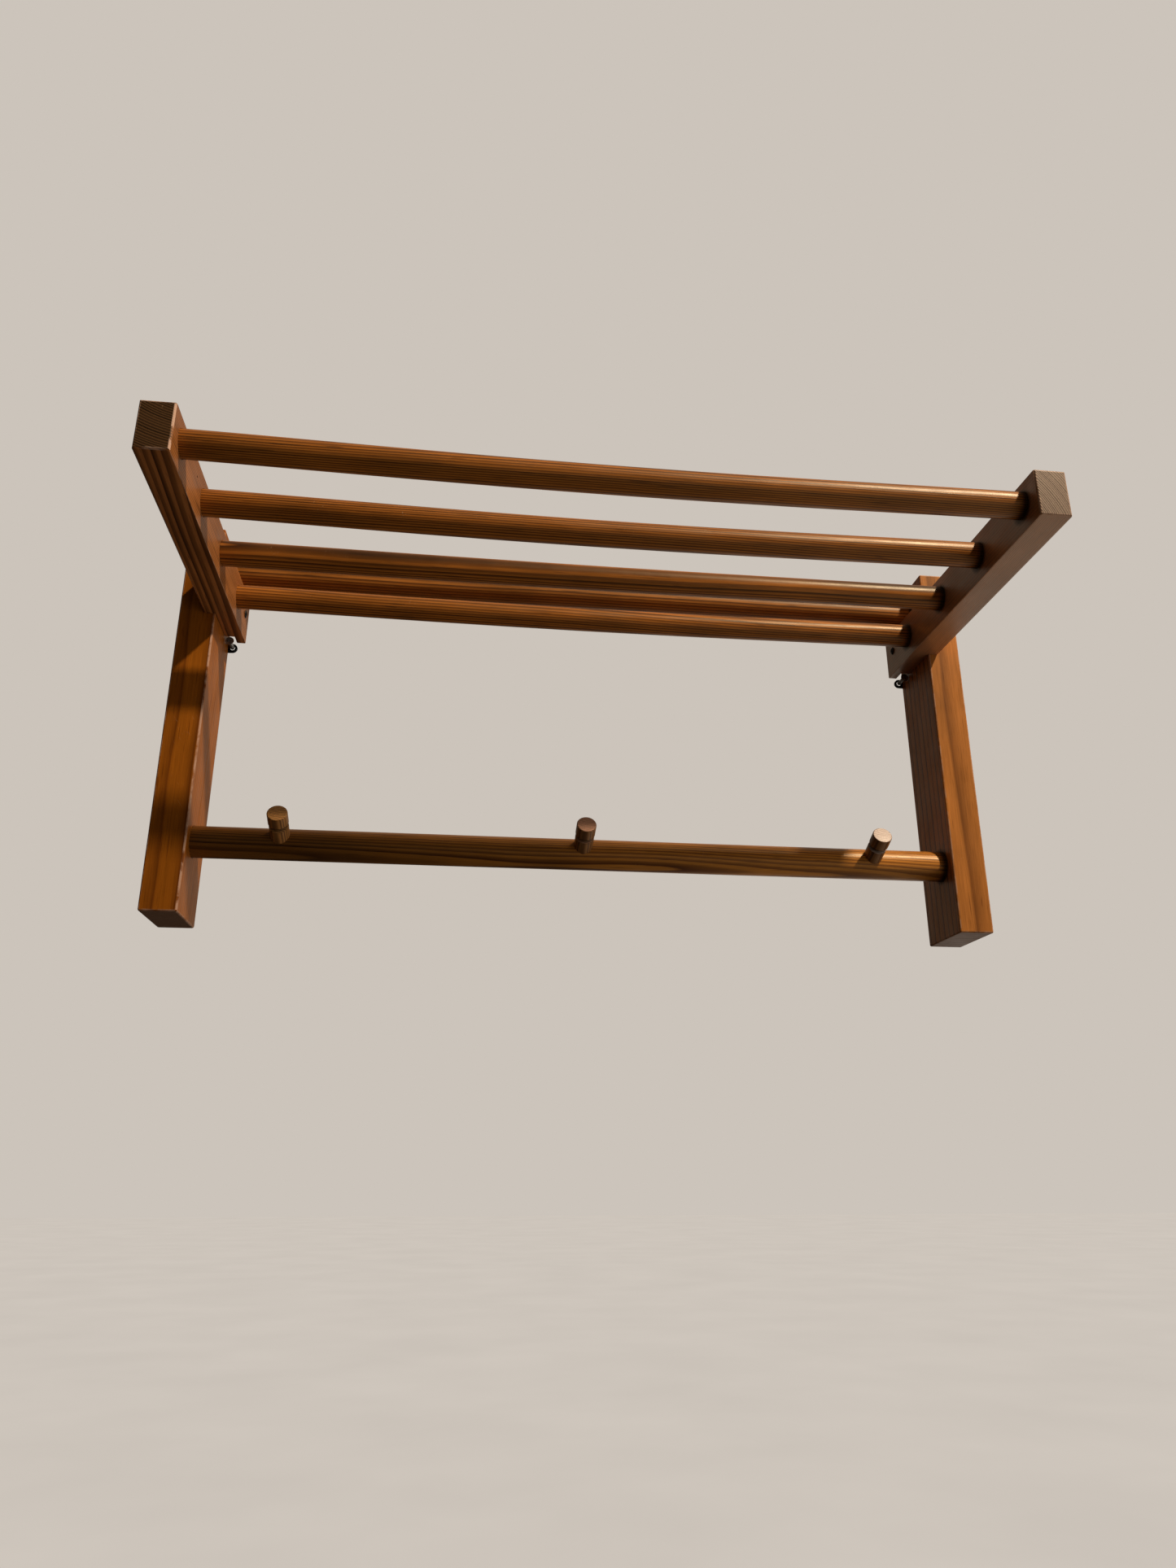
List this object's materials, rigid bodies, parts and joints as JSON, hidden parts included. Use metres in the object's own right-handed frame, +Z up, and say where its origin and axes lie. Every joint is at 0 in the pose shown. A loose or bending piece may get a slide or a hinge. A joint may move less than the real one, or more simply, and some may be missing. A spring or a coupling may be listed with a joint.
{
  "type": "wall mounted folding coat rack",
  "caption": "Wall rack in stained pine: two posts with a coat rail and turned pegs, and a rod shelf that swings up on the rear crossbar.",
  "frame": {"origin": "on the wall plane, midway between the posts, level with their lower ends, where the wall holds the rack", "axes": "+X along the wall to the right as seen from the room, +Y into the wall, +Z up"},
  "size_m": [0.68, 0.289, 0.335],
  "materials": {
    "post_pine": "stained and varnished pine, satin",
    "arm_pine": "stained and varnished pine, satin",
    "bar_pine": "stained and varnished pine dowel, semi-gloss",
    "peg_pine": "stained and varnished pine, satin",
    "blackened_steel": "blackened steel",
    "screw_steel": "dull zinc plated steel"
  },
  "bodies": {
    "wall_frame": {"post_left": "post_pine", "post_right": "post_pine", "rear_crossbar": "bar_pine", "coat_rail": "bar_pine", "peg_left": "peg_pine", "peg_middle": "peg_pine", "peg_right": "peg_pine", "hanger_plate_left": "blackened_steel", "hanger_plate_right": "blackened_steel", "plate_screw_left_1": "screw_steel", "plate_screw_left_2": "screw_steel", "plate_screw_right_1": "screw_steel", "plate_screw_right_2": "screw_steel", "wall_screw_left": "screw_steel", "wall_screw_right": "screw_steel"},
    "shelf": {"arm_left": "arm_pine", "arm_right": "arm_pine", "shelf_rod_1": "bar_pine", "shelf_rod_2": "bar_pine", "shelf_rod_3": "bar_pine", "shelf_rod_4": "bar_pine", "hinge_strap_left": "blackened_steel", "hinge_strap_right": "blackened_steel", "hinge_screw_left": "screw_steel", "hinge_screw_right": "screw_steel"}
  },
  "joints": [
    {"name": "shelf_fold", "type": "hinge", "parent": "wall_frame", "child": "shelf", "pos_m": [0, -0.031, 0.3075], "axis": [-1, 0, 0], "range_deg": [0, 90]}
  ]
}
